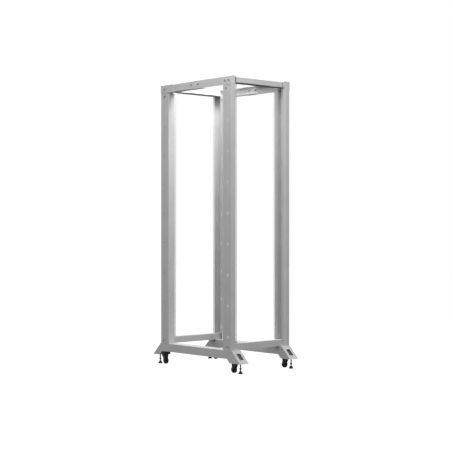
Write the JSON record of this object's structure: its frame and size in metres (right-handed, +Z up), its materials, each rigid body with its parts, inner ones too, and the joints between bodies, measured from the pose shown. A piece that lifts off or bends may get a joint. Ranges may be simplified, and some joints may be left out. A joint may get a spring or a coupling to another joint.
{
  "type": "four post open frame rack",
  "caption": "Tall open rack frame on four folded steel posts with square equipment holes, telescopic side beams, sloped feet, screw levellers and swivel casters.",
  "frame": {"origin": "on the floor, at the centre of the rack's width and depth", "axes": "+Z up, +X to the right seen from the front, +Y from the front to the rear"},
  "size_m": [0.584, 0.992, 2.1229],
  "materials": {
    "grey_powder_coat": "light grey powder coat, satin",
    "caster_steel": "black painted pressed steel",
    "black_plastic": "moulded black plastic",
    "zinc_steel": "dark plated steel"
  },
  "bodies": {
    "frame": {"post_front_left": "grey_powder_coat", "post_front_right": "grey_powder_coat", "post_rear_left": "grey_powder_coat", "post_rear_right": "grey_powder_coat", "base_beam_left": "grey_powder_coat", "side_sleeve_front_left": "grey_powder_coat", "side_sleeve_rear_left": "grey_powder_coat", "side_slider_left": "grey_powder_coat", "base_beam_right": "grey_powder_coat", "side_sleeve_front_right": "grey_powder_coat", "side_sleeve_rear_right": "grey_powder_coat", "side_slider_right": "grey_powder_coat", "low_cross_front": "grey_powder_coat", "top_cross_front": "grey_powder_coat", "low_cross_rear": "grey_powder_coat", "top_cross_rear": "grey_powder_coat", "foot_front_left": "grey_powder_coat", "caster_plate_front_left": "caster_steel", "leveller_nut_front_left": "zinc_steel", "foot_front_right": "grey_powder_coat", "caster_plate_front_right": "caster_steel", "leveller_nut_front_right": "zinc_steel", "foot_rear_left": "grey_powder_coat", "caster_plate_rear_left": "caster_steel", "leveller_nut_rear_left": "zinc_steel", "foot_rear_right": "grey_powder_coat", "caster_plate_rear_right": "caster_steel", "leveller_nut_rear_right": "zinc_steel"},
    "swivel_front_left": {"fork_front_left": "caster_steel", "axle_front_left": "zinc_steel"},
    "roller_front_left": {"wheel_front_left": "black_plastic"},
    "jack_front_left": {"leveller_front_left": "zinc_steel"},
    "swivel_front_right": {"fork_front_right": "caster_steel", "axle_front_right": "zinc_steel"},
    "roller_front_right": {"wheel_front_right": "black_plastic"},
    "jack_front_right": {"leveller_front_right": "zinc_steel"},
    "swivel_rear_left": {"fork_rear_left": "caster_steel", "axle_rear_left": "zinc_steel"},
    "roller_rear_left": {"wheel_rear_left": "black_plastic"},
    "jack_rear_left": {"leveller_rear_left": "zinc_steel"},
    "swivel_rear_right": {"fork_rear_right": "caster_steel", "axle_rear_right": "zinc_steel"},
    "roller_rear_right": {"wheel_rear_right": "black_plastic"},
    "jack_rear_right": {"leveller_rear_right": "zinc_steel"}
  },
  "joints": [
    {"name": "swivel_turn_front_left", "type": "hinge", "parent": "frame", "child": "swivel_front_left", "pos_m": [-0.252, -0.4, 0.069], "axis": [0, 0, 1], "continuous": true},
    {"name": "wheel_roll_front_left", "type": "hinge", "parent": "swivel_front_left", "child": "roller_front_left", "pos_m": [-0.252, -0.39, 0.026], "axis": [1, 0, 0], "continuous": true},
    {"name": "leveller_screw_front_left", "type": "slide", "parent": "frame", "child": "jack_front_left", "axis": [0, 0, 1], "range_m": [-0.01, 0.012]},
    {"name": "swivel_turn_front_right", "type": "hinge", "parent": "frame", "child": "swivel_front_right", "pos_m": [0.252, -0.4, 0.069], "axis": [0, 0, 1], "continuous": true},
    {"name": "wheel_roll_front_right", "type": "hinge", "parent": "swivel_front_right", "child": "roller_front_right", "pos_m": [0.252, -0.39, 0.026], "axis": [1, 0, 0], "continuous": true},
    {"name": "leveller_screw_front_right", "type": "slide", "parent": "frame", "child": "jack_front_right", "axis": [0, 0, 1], "range_m": [-0.01, 0.012]},
    {"name": "swivel_turn_rear_left", "type": "hinge", "parent": "frame", "child": "swivel_rear_left", "pos_m": [-0.252, 0.4, 0.069], "axis": [0, 0, 1], "continuous": true},
    {"name": "wheel_roll_rear_left", "type": "hinge", "parent": "swivel_rear_left", "child": "roller_rear_left", "pos_m": [-0.252, 0.39, 0.026], "axis": [1, 0, 0], "continuous": true},
    {"name": "leveller_screw_rear_left", "type": "slide", "parent": "frame", "child": "jack_rear_left", "axis": [0, 0, 1], "range_m": [-0.01, 0.012]},
    {"name": "swivel_turn_rear_right", "type": "hinge", "parent": "frame", "child": "swivel_rear_right", "pos_m": [0.252, 0.4, 0.069], "axis": [0, 0, 1], "continuous": true},
    {"name": "wheel_roll_rear_right", "type": "hinge", "parent": "swivel_rear_right", "child": "roller_rear_right", "pos_m": [0.252, 0.39, 0.026], "axis": [1, 0, 0], "continuous": true},
    {"name": "leveller_screw_rear_right", "type": "slide", "parent": "frame", "child": "jack_rear_right", "axis": [0, 0, 1], "range_m": [-0.01, 0.012]}
  ]
}
